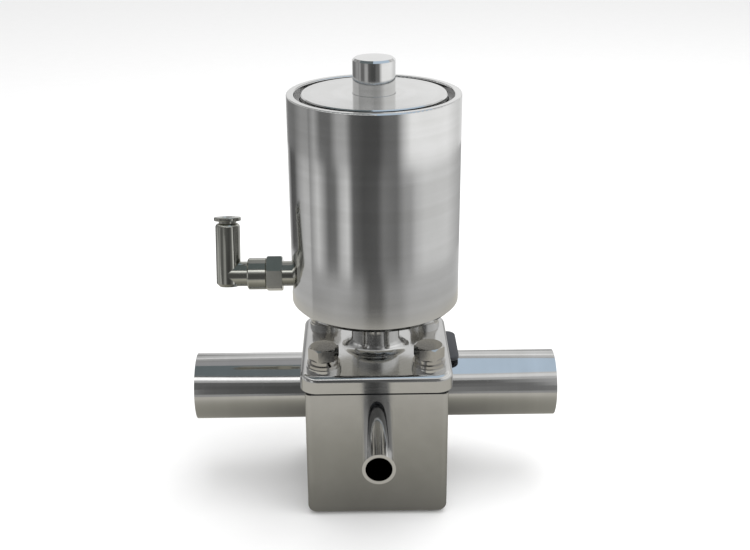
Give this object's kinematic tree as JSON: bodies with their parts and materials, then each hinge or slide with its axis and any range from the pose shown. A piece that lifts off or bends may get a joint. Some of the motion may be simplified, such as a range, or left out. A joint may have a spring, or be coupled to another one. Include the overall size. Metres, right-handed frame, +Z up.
{
  "type": "pneumatic diaphragm valve",
  "caption": "Stainless diaphragm valve: square block with straight run tube and small branch, square bonnet, spring-closed air actuator with indicator rod and elbow fitting.",
  "frame": {"origin": "centre of the block's flat bottom face, on the actuator axis", "axes": "+Z up along the actuator axis, +X along the run tube, the branch tube points to -Y"},
  "size_m": [0.1846, 0.127, 0.2244],
  "materials": {
    "block_steel": "satin machined stainless",
    "tube_steel": "polished stainless tube",
    "bonnet_steel": "polished stainless",
    "housing_steel": "fine turned stainless",
    "cover_steel": "polished stainless",
    "rod_steel": "polished stainless rod",
    "bolt_steel": "stainless fasteners",
    "ring_steel": "phosphated spring steel",
    "spring_steel": "spring wire",
    "piston_aluminium": "anodised aluminium",
    "nickel_fitting": "nickel plated brass",
    "diaphragm_rubber": "black EPDM",
    "seal_rubber": "black rubber",
    "bush_plastic": "white PTFE compound",
    "collet_brass": "brass"
  },
  "bodies": {
    "valve_body": {"body_block": "block_steel", "run_tube_left": "tube_steel", "run_tube_right": "tube_steel", "branch_tube": "tube_steel", "diaphragm": "diaphragm_rubber", "bonnet": "bonnet_steel", "bonnet_bolts": "bolt_steel", "flat_washers": "bolt_steel", "lock_washers": "bolt_steel", "stem_bush": "bush_plastic", "stem_seals": "seal_rubber", "actuator_housing": "housing_steel", "housing_nut": "bolt_steel", "housing_seal": "seal_rubber", "outer_spring": "spring_steel", "inner_spring": "spring_steel", "top_cover": "cover_steel", "cover_seal": "seal_rubber", "rod_seal": "seal_rubber", "rod_bush": "bush_plastic", "retaining_ring": "ring_steel", "port_adapter": "nickel_fitting", "adapter_seal": "seal_rubber", "swivel_seal": "seal_rubber"},
    "stem_group": {"diaphragm_stud": "bolt_steel", "compressor": "block_steel", "compressor_pin": "bolt_steel", "stem": "rod_steel", "piston": "piston_aluminium", "piston_seal": "seal_rubber", "piston_guide_ring": "bush_plastic", "indicator_rod": "rod_steel"},
    "elbow": {"swivel_sleeve": "nickel_fitting", "elbow_body": "nickel_fitting", "hose_seal": "seal_rubber", "collet": "collet_brass"},
    "push_ring": {"release_collar": "nickel_fitting"}
  },
  "joints": [
    {"name": "stem_travel", "type": "slide", "parent": "valve_body", "child": "stem_group", "axis": [0, 0, 1], "range_m": [0, 0.007], "stiffness_N_per_m": 5000, "springref_m": -0.002, "deforming": ["outer_spring", "inner_spring", "diaphragm"]},
    {"name": "elbow_swivel", "type": "hinge", "parent": "valve_body", "child": "elbow", "pos_m": [-0.06, 0, 0.1175], "axis": [-1, 0, 0], "continuous": true},
    {"name": "push_ring_press", "type": "slide", "parent": "elbow", "child": "push_ring", "axis": [0, -0.2588, -0.9659], "range_m": [0, 0.001], "stiffness_N_per_m": 500}
  ]
}
